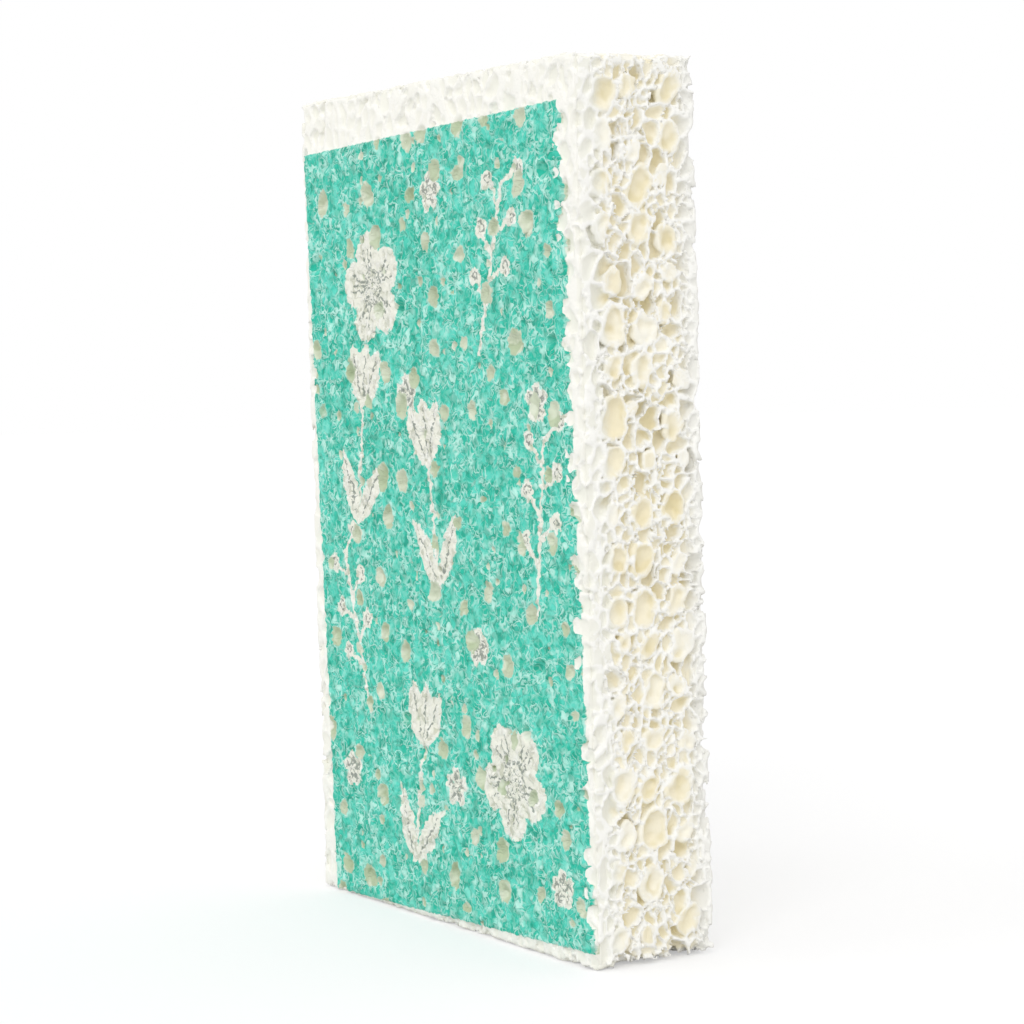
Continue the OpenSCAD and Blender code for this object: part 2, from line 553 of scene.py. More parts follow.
def input_socket(tree, name, kind, default=None, subtype=None):
    """Adds a named input to a tree."""
    socket = tree.interface.new_socket(name, in_out="INPUT", socket_type="NodeSocket" + kind)
    if subtype:
        socket.subtype = subtype
    if default is not None:
        socket.default_value = default
    return socket


def new_rule(name, sockets):
    """An empty rule for a foam face, with its inputs."""
    tree = bpy.data.node_groups.new(name, "GeometryNodeTree")
    shared = (
        ("Cell Width", "Float", 0.0021, "DISTANCE"),
        ("Cell Wall", "Float", 0.0003, "DISTANCE"),
        ("Stretch", "Float", 1.35),
        ("Lean", "Float", 0.28, "ANGLE"),
        ("Seed", "Int", 4),
        ("Material", "Material"),
    )
    for socket in (("Geometry", "Geometry"), ("Pore Walls", "Object"), *sockets, *shared):
        input_socket(tree, *socket)
    tree.interface.new_socket("Geometry", in_out="OUTPUT", socket_type="NodeSocketGeometry")
    net = Net(tree)
    return tree, net, net.node("NodeGroupInput").outputs


def end_rule(net, geometry, material):
    """Gives a rule's result out, as plain geometry with its material."""
    real = net.node("GeometryNodeRealizeInstances", {0: geometry})
    painted = net.node("GeometryNodeSetMaterial", {0: real.outputs[0], "Material": material})
    net.feed(net.node("NodeGroupOutput").inputs[0], painted.outputs[0])


def pore_lookup(net, given):
    """The place in mm, the pore walls, where they are looked up, and the nearest point on them."""
    pores = net.node("GeometryNodeObjectInfo", {"Object": given["Pore Walls"]}, transform_space="ORIGINAL")
    walls = pores.outputs["Geometry"]
    place = net.vector("SCALE", net.node("GeometryNodeInputPosition").outputs[0], scale=1000)
    sought = net.vector("SCALE", uneven_place(net, place), scale=0.001)
    near = net.node("GeometryNodeProximity", {0: walls, "Sample Position": sought}, target_element="FACES")
    return place, walls, sought, near.outputs


def read_nearest(net, walls, sought, value, kind):
    """A value of the pore walls, where they are nearest to the place that is looked up."""
    inputs = {0: walls, "Value": value, "Sample Position": sought}
    return net.node("GeometryNodeSampleNearestSurface", inputs, data_type=kind).outputs["Value"]


def signed_pore(net, given):
    """The place in mm, and how far it lies inside the nearest pore, below 0 outside."""
    place, walls, sought, near = pore_lookup(net, given)
    normal = net.node("GeometryNodeInputNormal").outputs[0]
    facing = read_nearest(net, walls, sought, normal, "FLOAT_VECTOR")
    away = net.vector("SUBTRACT", sought, near["Position"])
    side_of = net.sum("SIGN", net.vector("DOT_PRODUCT", away, facing))
    return place, net.times(net.times(near["Distance"], 1000), side_of)


def without_crumbs(net, mesh):
    """The largest island of a mesh, without the loose crumbs beside it."""
    island = net.node("GeometryNodeInputMeshIsland").outputs["Island Index"]
    per_island = {"Value": 1, "Group ID": island}
    count = net.node("GeometryNodeAccumulateField", per_island, data_type="INT", domain="POINT")
    count = count.outputs["Total"]
    sizes = {0: mesh, "Attribute": count}
    widest = net.node("GeometryNodeAttributeStatistic", sizes, data_type="FLOAT", domain="POINT")
    crumb = net.sum("LESS_THAN", count, net.times(widest.outputs["Max"], 0.5))
    kept = net.node("GeometryNodeDeleteGeometry", {0: mesh, "Selection": crumb}, domain="POINT")
    return kept.outputs[0]


def face_tree():
    """The rule that turns one face of the block into foam, on a fine grid."""
    tree, net, given = new_rule(
        "Foam Face",
        (
            ("Low Corner", "Vector", None, "TRANSLATION"),
            ("High Corner", "Vector", None, "TRANSLATION"),
            ("Grid Step", "Float", 0.0003, "DISTANCE"),
            ("Outward", "Vector"),
            ("Half Span", "Float", 0.009, "DISTANCE"),
            ("Layer Depth", "Float", 0.004, "DISTANCE"),
        ),
    )
    step, wall = (net.times(given[name], 1000) for name in ("Grid Step", "Cell Wall"))
    place, pore = signed_pore(net, given)
    faces = block_distances(net, place)

    # Closed skin lies on the print and in patches on the back.
    _, _, inside, _, _ = ragged_edge(net, place)
    front_skin = net.times(net.ramp(inside, -0.3, 0.3), net.ramp(faces["front"], 0.8, 1.1, 1, 0))
    from_rim = net.ramp(net.least(faces["side"], faces["end"]), 1.5, 4.0)
    back_patch = net.times(net.ramp(net.noise(place, 0.09), 0.42, 0.5), from_rim)
    back_skin = net.times(back_patch, net.ramp(faces["back"], 0.8, 1.1, 1, 0))
    skin = net.most(front_skin, back_skin)

    # The cups keep a wall to the pores and stay out of the skin.
    calm = calmness(net, place, faces)
    inner, _, _, rag = cut_foam(net, place, faces, given, calm)
    shell = net.add(net.times(wall, 0.8), net.times(net.most(faces["depth"], 0.0), 0.6))
    inner = net.least(inner, net.less(net.times(pore, -1.0), shell))
    inner = net.less(inner, net.times(net.sum("GREATER_THAN", skin, 0.5), FAR_IN))
    hollow = net.most(inner, pore)

    # The block's hull is rounded, and worn or crinkled.
    ridge, dent, _ = skin_relief(net, place)
    crinkle = net.add(net.times(ridge, 0.26), net.times(dent, 0.5))
    on_wide = net.ramp(net.less(net.least(faces["side"], faces["end"]), faces["wide"]), -0.4, 0.4)
    loss = net.blend(net.times(on_wide, skin), rag, crinkle)
    beyond = [net.most(net.less(EDGE_ROUND, faces[k]), 0.0) for k in ("side", "wide", "end")]
    hull = net.less(net.less(EDGE_ROUND, net.vector("LENGTH", net.joined(*beyond))), loss)
    solid = net.sum("SMOOTH_MIN", hull, net.times(hollow, -1.0), CREASE)

    # One face's layer is cut off at its depth, and mitred where it meets the next ones.
    middle = net.vector("SUBTRACT", place, (0, 0, BLOCK_H / 2))
    height = net.vector("DOT_PRODUCT", middle, given["Outward"])
    own = net.less(net.times(given["Half Span"], 1000), height)
    mitre = net.less(net.times(step, 0.6), net.less(own, faces["depth"]))
    layer = net.less(net.times(given["Layer Depth"], 1000), own)
    solid = net.least(solid, mitre, layer)

    span = net.vector("SUBTRACT", given["High Corner"], given["Low Corner"])
    counts = net.vector("DIVIDE", span, net.joined(*[given["Grid Step"]] * 3))
    corners = {"Min": given["Low Corner"], "Max": given["High Corner"]}
    cube = net.node("GeometryNodeVolumeCube", {"Density": solid, "Background": -1.0, **corners})
    for axis, count in zip("XYZ", net.axes(counts)):
        whole = net.node("FunctionNodeFloatToInt", {0: net.add(count, 1.0)}, rounding_mode="ROUND")
        net.feed(cube.inputs["Resolution " + axis], whole.outputs[0])
    grid = {0: cube.outputs[0], "Threshold": 0.0}
    skin_mesh = net.node("GeometryNodeVolumeToMesh", grid, resolution_mode="GRID")
    end_rule(net, without_crumbs(net, skin_mesh.outputs[0]), given["Material"])
    return tree


def marks_tree():
    """The rule that marks the large pores and the cups, each with a tone: random, and darker for the
    smaller cups as painted shade.
    """
    tree, net, given = new_rule("Foam Marks", (("Reach", "Float", 0.0003, "DISTANCE"),))
    place, walls, sought, near = pore_lookup(net, given)
    share = net.node("FunctionNodeRandomValue", data_type="FLOAT")
    net.feed(share.inputs["ID"], net.node("GeometryNodeInputMeshIsland").outputs["Island Index"])
    net.feed(share.inputs["Seed"], given["Seed"])
    number = [o for o in share.outputs if o.enabled][0]
    faces = block_distances(net, place)
    _, inside, tone, _ = cut_foam(net, place, faces, given, calmness(net, place, faces))
    marks = {
        "pore": net.ramp(near["Distance"], net.times(given["Reach"], 0.5), given["Reach"], 1, 0),
        "pore_tone": read_nearest(net, walls, sought, number, "FLOAT"),
        "cup": net.ramp(inside, 0.0, 0.3, kind="LINEAR"),
        "cup_tone": tone,
        "worn": skin_relief(net, place)[2],
    }
    marked = given["Geometry"]
    for name, value in marks.items():
        inputs = {0: marked, "Name": name, "Value": value}
        kind = {"data_type": "FLOAT", "domain": "POINT"}
        marked = net.node("GeometryNodeStoreNamedAttribute", inputs, **kind).outputs[0]
    end_rule(net, marked, given["Material"])
    return tree


def tree_named(name, build):
    """The node tree of that name, which is built once and then used again."""
    return bpy.data.node_groups.get(name) or build()


def add_rule(holder, tree, values):
    """Puts a tree on an object as a modifier, with its inputs set by identifier."""
    rule = holder.modifiers.new(tree.name, "NODES")
    rule.node_group = tree
    sockets = [s for s in tree.interface.items_tree if s.item_type == "SOCKET"]
    keys = {s.name: s.identifier for s in sockets if s.in_out == "INPUT"}
    for name, value in values.items():
        rule[keys[name]] = value
    return rule


def settled(holder):
    """The plain mesh that an object's modifiers make, with the modifiers taken off."""
    graph = bpy.context.evaluated_depsgraph_get()
    made = bpy.data.meshes.new_from_object(holder.evaluated_get(graph))
    holder.modifiers.clear()
    return made


def new_object(name, held):
    """An object at the origin, in the scene, that holds a mesh, a lamp or a camera."""
    made = bpy.data.objects.new(name, held)
    bpy.context.scene.collection.objects.link(made)
    return made


def pore_walls():
    """The walls of the pores alone, from a copy of the solid, as a hidden guide."""
    found = bpy.data.objects.get("pore_walls")
    if found:
        return found
    shape = bmesh.new()
    shape.from_mesh(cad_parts["sponge"].data)
    bmesh.ops.remove_doubles(shape, verts=shape.verts, dist=1e-6)
    low, high = (Vector(c) for c in SPONGE_BOX)

    def flat(face):
        for axis, band in enumerate((FLAT_BAND, FILM_BAND, FLAT_BAND)):
            places = [v.co[axis] for v in face.verts]
            if max(places) < low[axis] + band or min(places) > high[axis] - band:
                return True
        return False

    bmesh.ops.delete(shape, geom=[face for face in shape.faces if flat(face)], context="FACES")
    mesh = bpy.data.meshes.new("pore_walls")
    shape.to_mesh(mesh)
    shape.free()
    mesh.polygons.foreach_set("use_smooth", [False] * len(mesh.polygons))
    if "custom_normal" in mesh.attributes:
        mesh.attributes.remove(mesh.attributes["custom_normal"])
    guide = new_object("pore_walls", mesh)
    guide.hide_render = True
    return guide


def read(items, name, width=1):
    """One property of all the items, as an array."""
    values = np.empty(len(items) * width, np.float32 if width > 1 else np.int32)
    items.foreach_get(name, values)
    return values.reshape(-1, width) if width > 1 else values


def lay_map(mesh, outward):
    """A flat map of one face: what looks outward fills most of it, and the rest a strip."""
    normals = read(mesh.polygons, "normal", 3)
    looks_out = np.repeat(normals @ np.array(outward) > 0.02, read(mesh.polygons, "loop_total"))
    kept = [axis for axis in range(3) if abs(outward[axis]) < 0.5]
    flat = read(mesh.vertices, "co", 3)[:, kept]
    flat = flat - flat.min(axis=0)
    span = float(flat.max())
    place = flat[read(mesh.loops, "vertex_index")] / span
    short = float((flat.max(axis=0) / span).min())
    lean = int(np.argmin(flat.max(axis=0)))
    main = place * 0.78 + 0.01
    strip = place * 0.2
    strip[:, lean] += min(0.8, 0.78 * short + 0.03) if short < 0.97 else 0.8
    if short >= 0.75:
        strip = place * 0.19 + 0.8
    spread = np.where(looks_out[:, None], main, strip)
    layer = mesh.uv_layers.get("OFBake") or mesh.uv_layers.new(name="OFBake")
    layer.data.foreach_set("uv", np.ascontiguousarray(spread, np.float32).ravel())


# Each face: where it looks, half the block's span that way, its triangles, and how much coarser
# its grid is than the ordinary one.
FACES = {
    "printed_face": ((0, -1, 0), BLOCK_T / 2, 195000, 1.0),
    "back_face": ((0, 1, 0), BLOCK_T / 2, 150000, 1.4),
    "right_side": ((1, 0, 0), BLOCK_W / 2, 195000, 0.92),
    "left_side": ((-1, 0, 0), BLOCK_W / 2, 130000, 1.1),
    "top_end": ((0, 0, 1), BLOCK_H / 2, 110000, 1.0),
    "foot_end": ((0, 0, -1), BLOCK_H / 2, 80000, 1.2),
}


def foam_face(name, material):
    """Makes one face of the block as foam, thinned to its number of triangles."""
    foam = bpy.context.scene.sponge_foam
    outward, half, triangles, coarser = FACES[name]
    step = foam.grid_step * coarser * 1.0
    proud = 2 * step
    low = [-BLOCK_W / 2000 - proud, -BLOCK_T / 2000 - proud, -proud]
    high = [BLOCK_W / 2000 + proud, BLOCK_T / 2000 + proud, BLOCK_H / 1000 + proud]
    axis = [abs(v) for v in outward].index(1)
    inner = foam.layer_depth + 2 * step
    if outward[axis] > 0:
        low[axis] = high[axis] - inner - proud
    else:
        high[axis] = low[axis] + inner + proud
    low = [math.floor(v / step) * step for v in low]
    high = [math.ceil(v / step) * step for v in high]
    piece = new_object(name, bpy.data.meshes.new(name))
    cells = {
        "Pore Walls": pore_walls(),
        "Cell Width": foam.cell_width,
        "Cell Wall": foam.wall,
        "Stretch": foam.stretch,
        "Lean": foam.lean,
        "Seed": foam.seed,
        "Material": material,
    }
    values = {
        "Low Corner": low,
        "High Corner": high,
        "Grid Step": step,
        "Outward": [float(v) for v in outward],
        "Half Span": half / 1000,
        "Layer Depth": foam.layer_depth,
        **cells,
    }
    add_rule(piece, tree_named("Foam Face", face_tree), values)
    piece.data = settled(piece)
    raw = sum(len(p.vertices) - 2 for p in piece.data.polygons)
    if raw < 1000:
        raise RuntimeError(name + " came out empty")
    thin = piece.modifiers.new("Thin", "DECIMATE")
    thin.ratio = min(1.0, triangles / raw)
    add_rule(piece, tree_named("Foam Marks", marks_tree), {"Reach": 0.0004, **cells})
    piece.data = settled(piece)
    piece.data.name = name
    piece.data.materials.clear()
    piece.data.materials.append(material)
    piece.data.polygons.foreach_set("material_index", [0] * len(piece.data.polygons))
    piece.data.polygons.foreach_set("use_smooth", [True] * len(piece.data.polygons))
    lay_map(piece.data, outward)
    print(name, "grid triangles", raw, "kept", sum(len(p.vertices) - 2 for p in piece.data.polygons))
    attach(piece, "root")
    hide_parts("sponge")
    return piece


def new_group(name, inputs, outputs, flat=False):
    """An empty shader node group with its sockets."""
    group = bpy.data.node_groups.new(name, "ShaderNodeTree")
    for label, kind, default in inputs:
        input_socket(group, label, kind, default)
    for label, kind in outputs:
        group.interface.new_socket(label, in_out="OUTPUT", socket_type="NodeSocket" + kind)
    net = Net(group, flat)
    return group, net, net.node("NodeGroupInput").outputs, net.node("NodeGroupOutput").inputs


def new_surface(name, colours, flat=False):
    """An empty group that gives the look of a surface at a place, from a few named colours."""
    inputs = [("Place", "Vector", None)] + [(colour, "Color", (1, 1, 1, 1)) for colour in colours]
    return new_group(name, inputs, (("Color", "Color"), ("Roughness", "Float"), ("Grain", "Float")), flat)


def use_group(net, group, inputs):
    """Puts a group into a tree, with its inputs fed by name."""
    made = net.node("ShaderNodeGroup")
    made.node_tree = group
    for name, value in inputs.items():
        net.feed(made.inputs[name], value)
    return made.outputs


def own_colours(settings, names):
    """The colours of these names among some settings, as a group takes them."""
    found = {}
    for name in names:
        found[name] = opaque(getattr(settings, name.lower().split()[0] + "_colour"))
    return found


def foam_colour_group():
    """Cream foam: white rims, cups tinted with painted shade that grows darker and more tan with depth, and
    the tone of each large pore.
    """
    group, net, given, out = new_surface("Foam Colour", FOAM_COLOURS)
    place = given["Place"]
    faces = block_distances(net, place)
    uneven = net.less(net.noise(place, 0.9, 2.0), 0.5)
    depth = net.add(faces["depth"], net.times(uneven, 0.3))
    cup_tone, pore_tone, in_cup, on_pore = net.stored("cup_tone", "pore_tone", "cup", "pore")
    hollow = net.times(net.ramp(in_cup, 0.05, 0.8), net.ramp(depth, 0.0, 0.45))
    # Painted shade: from 0.5 to 1.7 mm deep the cups and pores go towards the tan cup colour.
    depth_shade = net.times(net.ramp(depth, 0.5, 1.7), 0.7)
    cup_share = net.most(net.ramp(cup_tone, 0.1, 1.0, kind="LINEAR"), depth_shade)
    cup = net.tint(cup_share, PALE_CUP, given["Cup"])
    cup = net.tint(on_pore, cup, net.tint(net.most(pore_tone, depth_shade), PALE_CUP, given["Cup"]))
    shadow_side = net.times(net.ramp(net.noise(place, 0.42, 1.0), 0.44, 0.62), net.ramp(depth, 0.4, 1.0))
    cup = net.tint(net.times(shadow_side, 0.45), cup, given["Deep"])
    hollow = net.most(hollow, net.times(on_pore, net.ramp(depth, 0.1, 0.7)))
    near_print = net.ramp(net.add(faces["front"], net.times(uneven, 1.5)), 3.0, 5.0, 1, 0)
    near_back = net.ramp(net.add(faces["back"], net.times(uneven, 1.5)), 1.5, 4.0, 1, 0)
    near_back = net.times(near_back, net.ramp(net.least(faces["side"], faces["end"]), 1.5, 4.0, 1, 0))
    cup = net.tint(near_print, cup, given["Sage"])
    cup = net.tint(near_back, cup, REAR_CUP)
    # Painted shade: the hollows of the cups and pores take the cup colour, darker than the white rims.
    shade = net.tint(hollow, given["Rim"], cup)
    # Painted shade: beyond 1.6 mm deep the colour goes most of the way to the deep colour.
    deepest_shade = net.ramp(depth, 1.6, 3.4)
    shade = net.tint(net.times(deepest_shade, 0.8), shade, given["Deep"])
    # Painted shade: within about a millimetre of the printed face the foam is tinted up to half way to
    # grey, so that face reads darker than the cut sides.
    shade = net.tint(net.ramp(faces["front"], 0.3, 0.9, 0.5, 0), shade, SHADED_FRONT_SKIN)
    grain = net.noise(place, 3.5, 3.0, 0.65)
    # Fine pits on the rims: a dent in the grain, and painted shade in the cup colour.
    pit_and_shade = net.ramp(net.cells(net.strayed(place, 1.3, 0.5), 0.66)["Distance"], 0.18, 0.42, 1, 0)
    pit_and_shade = net.times(pit_and_shade, net.times(net.less(1.0, hollow), net.less(1.0, net.times(near_print, 0.7))))
    shade = net.tint(net.times(pit_and_shade, 0.55), shade, cup)
    net.feed(out["Color"], shade)
    net.feed(out["Roughness"], net.ramp(grain, 0.3, 0.7, 0.72, 0.9))
    smooth = net.most(on_pore, hollow)
    net.feed(out["Grain"], net.less(net.times(grain, net.blend(smooth, 1.0, 0.35)), pit_and_shade))
    return group


def nearest_motif(net, across, up, spots, rise):
    """The place in the frame of the nearest of like motifs, each given as x, y and turn.

    rise is how far a motif's middle lies above the point that it is placed by.
    """
    found_x = found_y = found_far = None
    for spot_x, spot_y, degrees in spots:
        x, y = net.less(across, spot_x), net.less(up, spot_y)
        own_x, own_y = net.turned(x, y, math.radians(degrees))
        far = net.vector("LENGTH", net.joined(own_x, net.less(own_y, rise), 0.0))
        if found_far is None:
            found_x, found_y, found_far = own_x, own_y, far
        else:
            nearer = net.sum("LESS_THAN", far, found_far)
            found_x = net.blend(nearer, found_x, own_x)
            found_y = net.blend(nearer, found_y, own_y)
            found_far = net.least(found_far, far)
    return found_x, found_y


def bar(net, x, y, half_width, start, end):
    """Distance to an upright bar from start to end, below 0 inside."""
    middle, half = (start + end) / 2, (end - start) / 2
    return net.most(net.less(net.size(x), half_width), net.less(net.size(net.less(y, middle)), half))


def disc(net, x, y, middle, radius):
    """Distance to a disc, below 0 inside."""
    from_middle = net.joined(net.less(x, middle[0]), net.less(y, middle[1]), 0.0)
    return net.less(net.vector("LENGTH", from_middle), radius)


def lens(net, x, y, foot, turn, long, wide):
    """Distance to a pointed leaf that stands on foot and leans by turn degrees."""
    u, v = net.turned(net.less(x, foot[0]), net.less(y, foot[1]), math.radians(turn))
    v = net.less(v, long / 2)
    bow = (long ** 2 + wide ** 2) / (4 * wide)
    reach = net.vector("LENGTH", net.joined(net.add(net.size(u), bow - wide / 2), v, 0.0))
    return net.less(reach, bow), u, v


def motif_group(name, draw):
    """A shader group that draws one motif: in its frame, the distance to it and its lines."""
    group, net, given, out = new_group(
        name,
        (("Across", "Float", 0.0), ("Up", "Float", 0.0)),
        (("Distance", "Float"), ("Line", "Float")),
    )
    shape, line = draw(net, given["Across"], given["Up"])
    net.feed(out["Distance"], shape)
    net.feed(out["Line"], line)
    return group


def stroke(net, distance, width):
    """A soft thin line where distance is near 0."""
    return net.ramp(net.size(distance), width * 0.35, width * 0.75, 1, 0)


def draw_blossom(radius):
    """Gives the function that draws a blossom of this radius."""

    def draw(net, x, y):
        step = 2 * math.pi / PETALS
        angle = net.sum("ARCTAN2", x, y)
        turns = net.sum("ROUND", net.sum("DIVIDE", angle, step))
        folded = net.less(angle, net.times(turns, step))
        reach = net.vector("LENGTH", net.joined(x, y, 0.0))
        u = net.times(reach, net.sum("SINE", folded))
        v = net.times(reach, net.sum("COSINE", folded))
        petal = disc(net, u, v, (0, 0.6 * radius), 0.4 * radius)
        heart = net.less(reach, 0.35 * radius)
        shape = net.least(petal, heart)
        spread = net.less(net.size(folded), 0.22)
        ribs = net.least(net.size(net.times(reach, spread)), net.size(u))
        far = net.ramp(reach, 0.72 * radius, 0.78 * radius, 1, 0)
        near = net.ramp(reach, 0.25 * radius, 0.3 * radius)
        veins = net.times(stroke(net, ribs, 0.3), net.times(far, near))
        stipple = net.noise(net.joined(x, y, 0.0), 2.6, 1.0)
        dots = net.times(net.ramp(stipple, 0.5, 0.58), net.ramp(reach, 0.3 * radius, 0.36 * radius, 1, 0))
        ring = stroke(net, net.less(reach, 0.33 * radius), 0.28)
        return shape, net.most(veins, dots, net.times(ring, 0.8))

    return draw


def draw_twig(net, x, y):
    """A twig with berries on short stalks, left and right by turns."""
    shape = bar(net, x, y, STALK_HALF, 0.0, TWIG_LONG)
    line = 0.0
    for i in range(BERRIES):
        height = TWIG_LONG * (0.3 + 0.7 * i / (BERRIES - 1))
        u, v = net.turned(x, net.less(y, height), math.radians(50 if i % 2 == 0 else -50))
        shape = net.least(shape, bar(net, u, v, STALK_HALF, 0.0, 3.4), disc(net, u, v, (0, 4.3), BERRY_R))
        line = net.most(line, stroke(net, disc(net, u, v, (0.2, 4.4), 0.55), 0.28))
    return shape, net.times(line, net.ramp(shape, -0.1, 0.1, 1, 0))


def draw_tulip(net, x, y):
    """A tulip of three petals on a stalk with two long leaves."""
    shape = bar(net, x, y, STALK_HALF, 0.0, 19.0)
    line = None
    for turn in (-24, 0, 24):
        leaf, u, v = lens(net, x, y, (0, 16.0), turn, 9.0, 4.2)
        rib = net.times(stroke(net, u, 0.3), net.ramp(net.size(v), 2.4, 3.6, 1, 0))
        line = rib if line is None else net.most(line, rib)
        shape = net.least(shape, leaf)
    for turn in (-32, 28):
        leaf, u, v = lens(net, x, y, (0, 0), turn, 11.0, 3.4)
        rib = net.times(stroke(net, u, 0.3), net.ramp(net.size(v), 3.2, 4.4, 1, 0))
        line = net.most(line, rib)
        shape = net.least(shape, leaf)
    return shape, net.times(line, net.ramp(shape, -0.1, 0.1, 1, 0))


def curled_lines(net, place, scale, width):
    """Curled fibres: the lines along which a smooth noise passes its middle value."""
    return net.ramp(net.size(net.less(net.noise(place, scale), 0.5)), width * 0.25, width, 1, 0)


def print_group():
    """The ink: where it lies, its colour, and the motifs left bare in it, with painted highlights on the
    curled fibres and painted shade in darker patches and in the motifs' creases.
    """
    ink = bpy.context.scene.sponge_print
    group, net, given, out = new_surface("Print", INK_COLOURS + ("Bare",), flat=True)
    place = given["Place"]
    x, y, edge, wide, high = ragged_edge(net, place)
    flat = net.joined(x, y, 0.0)
    torn = net.less(net.noise(flat, 1.1, 3.0, 0.6), 0.5)
    field = net.ramp(edge, -0.08, 0.08)
    front = net.add(net.axes(place)[1], BLOCK_T / 2)
    tone, on_pore, worn = net.stored("pore_tone", "pore", "worn")
    inked_pore = net.ramp(tone, 0.8, 0.82)
    soak = net.add(ink.soak * 1000, net.times(inked_pore, 1.6))
    reach = net.add(front, net.times(net.less(net.noise(flat, 1.6, 1.0), 0.5), 0.5))
    wetted = net.ramp(net.less(soak, reach), -0.06, 0.12)
    clean_pore = net.times(net.ramp(on_pore, 0.3, 0.6), net.less(1.0, inked_pore))
    wetted = net.times(wetted, net.less(1.0, clean_pore))
    wetted = net.times(wetted, net.less(1.0, net.ramp(worn, 0.35, 0.6)))

    bent_x, bent_y, _ = net.axes(net.strayed(flat, 0.8, 1.4, 2.0, 0.6))
    kinds = (
        (motif_group("Blossom", draw_blossom(BLOSSOM_R)), BLOSSOMS, 0),
        (motif_group("Twig", draw_twig), TWIGS, TWIG_LONG / 2),
        (motif_group("Tulip", draw_tulip), TULIPS, 12),
        (motif_group("Floret", draw_blossom(FLORET_R)), FLORETS, 0),
    )
    shape = line = None
    for kind, spots, rise in kinds:
        placed = [(spot[0] * wide / 2, spot[1] * high / 2, spot[2]) for spot in spots]
        u, v = nearest_motif(net, bent_x, bent_y, placed, rise)
        drawn = use_group(net, kind, {"Across": u, "Up": v})
        shape = drawn[0] if shape is None else net.least(shape, drawn[0])
        line = drawn[1] if line is None else net.most(line, drawn[1])
    motif = net.ramp(net.add(shape, net.times(torn, 0.6)), -0.1, 0.1, 1, 0)
    broken = net.ramp(net.noise(flat, 1.9, 1.0), 0.36, 0.5)
    line = net.times(line, broken)

    crooked = net.strayed(net.strayed(flat, 0.6, 1.6), 2.4, 0.45)
    curls = curled_lines(net, crooked, 0.55, 0.065)
    threads = curled_lines(net, net.vector("ADD", crooked, (9, 4, 0)), 1.1, 0.085)
    patchy = net.ramp(net.noise(flat, 0.4, 2.0), 0.36, 0.6, 0.25, 1.0)
    # The curled fibres give real relief through the grain, and their pale tint is a painted highlight.
    fibre_and_highlight = net.times(net.most(curls, net.times(threads, 0.7)), patchy)
    blotch = net.ramp(net.noise(flat, 0.5, 3.0, 0.6), 0.38, 0.62)
    hue = net.tint(blotch, given["Ink"], given["Thin Ink"])
    # Painted shade: patches of darker ink between the curled fibres. The same patches also grey the creases
    # of the motifs.
    shade_patches = net.ramp(net.noise(crooked, 0.7, 2.0, 0.6), 0.36, 0.5, 1, 0)
    deeper = net.ramp(net.noise(flat, 0.07, 1.0), 0.4, 0.6)
    shade_patches = net.times(shade_patches, net.blend(deeper, 0.75, 1.0))
    hue = net.tint(net.times(deeper, 0.4), hue, given["Ink"])
    hue = net.tint(net.times(shade_patches, 0.8), hue, SHADED_INK)
    # Painted highlight: the curled fibres are tinted pale over the ink.
    hue = net.tint(net.times(fibre_and_highlight, 0.85), hue, given["Fibre"])
    # Painted highlight: a pale band along the lips of the pores.
    lip = net.times(net.ramp(on_pore, 0.05, 0.3), net.ramp(on_pore, 0.35, 0.6, 1, 0))
    hue = net.tint(net.times(lip, net.ramp(inked_pore, 0, 1, 0.35, 0.9)), hue, given["Fibre"])
    # Painted shade: the bare motifs are greyed in the same patches, as shade in their creases.
    crease_shaded_motif = net.tint(net.ramp(shade_patches, 0.2, 1.0), given["Motif"], MOTIF_SHADE)
    # Painted highlight: the curled fibres on the bare motifs are tinted white.
    bare_motif = net.tint(net.times(fibre_and_highlight, 0.4), crease_shaded_motif, (1.0, 1.0, 1.0))
    drawn_on = net.tint(net.times(line, 0.75), bare_motif, given["Line"])
    hue = net.tint(motif, hue, drawn_on)

    hole = net.times(field, net.most(net.ramp(front, 0.3, 0.7), net.ramp(on_pore, 0.0, 0.3), worn))
    open_hue = net.tint(net.ramp(tone, 0.0, 0.8), given["Opening"], SHADED_OPENING)
    lit = net.ramp(net.noise(flat, 0.45, 1.0), 0.5, 0.66)
    open_hue = net.tint(net.times(lit, 0.6), open_hue, LIT_OPENING)
    under = net.tint(hole, given["Bare"], open_hue)
    net.feed(out["Color"], net.tint(net.times(field, wetted), under, hue))
    net.feed(out["Roughness"], net.blend(net.times(field, wetted), 0.85, 0.6))
    net.feed(out["Grain"], net.times(fibre_and_highlight, field))
    return group


def foam_material(name, printed):
    """Cellulose foam, bare or with the print on it."""
    found = bpy.data.materials.get(name)
    if found:
        return found
    scene = bpy.context.scene
    made = bpy.data.materials.new(name)
    made.use_nodes = True
    net = Net(made.node_tree)
    shader = made.node_tree.nodes["Principled BSDF"]
    place = net.vector("SCALE", net.node("ShaderNodeTexCoord").outputs["Object"], scale=1000)
    inputs = {"Place": place, **own_colours(scene.sponge_foam, FOAM_COLOURS)}
    bare = use_group(net, tree_named("Foam Colour", foam_colour_group), inputs)
    colour, rough, height = bare["Color"], bare["Roughness"], bare["Grain"]
    if printed:
        inputs = {"Place": place, **own_colours(scene.sponge_print, INK_COLOURS), "Bare": colour}
        inked = use_group(net, tree_named("Print", print_group), inputs)
        colour, rough = inked["Color"], inked["Roughness"]
        height = net.add(height, net.times(inked["Grain"], 1.5))
    net.feed(shader.inputs["Base Color"], colour)
    net.feed(shader.inputs["Roughness"], rough)
    shader.inputs["Specular IOR Level"].default_value = 0.25
    bump = net.node("ShaderNodeBump", {"Height": height})
    bump.inputs["Strength"].default_value = 0.6
    bump.inputs["Distance"].default_value = 0.00016
    net.feed(shader.inputs["Normal"], bump.outputs[0])
    return made


